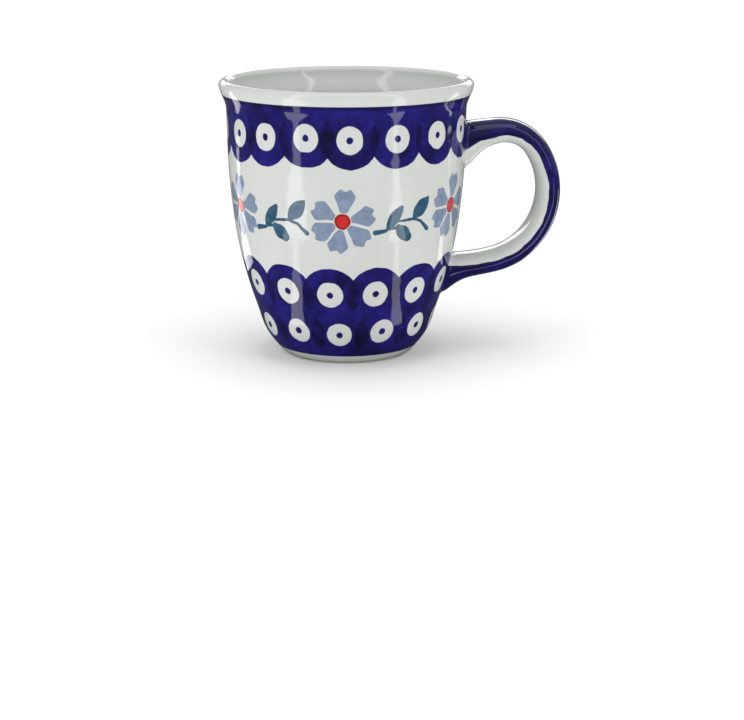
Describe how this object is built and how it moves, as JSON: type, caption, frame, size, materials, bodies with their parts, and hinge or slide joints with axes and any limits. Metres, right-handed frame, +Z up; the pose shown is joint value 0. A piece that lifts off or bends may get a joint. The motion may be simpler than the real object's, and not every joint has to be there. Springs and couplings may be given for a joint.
{
  "type": "stoneware mug",
  "caption": "Round-bellied stoneware mug with a rolled, flared lip, a foot ring and a strap handle luted on with slip.",
  "frame": {"origin": "centre of the foot ring, on the surface that the mug stands on, on the cup's axis", "axes": "+Z up along the cup's axis, +X from the axis through the handle"},
  "size_m": [0.1244, 0.092, 0.1],
  "materials": {
    "decorated_glaze": "clear high-gloss glaze over hand-stamped cobalt, grey-blue, teal and red underglaze",
    "handle_glaze": "clear high-gloss glaze over brushed cobalt, left white on the finger side",
    "slip": "same glaze over cobalt, run over the luted joint"
  },
  "bodies": {
    "root": {"mug_body": "decorated_glaze", "handle": "handle_glaze", "upper_slip_joint": "slip", "lower_slip_joint": "slip"}
  },
  "joints": []
}
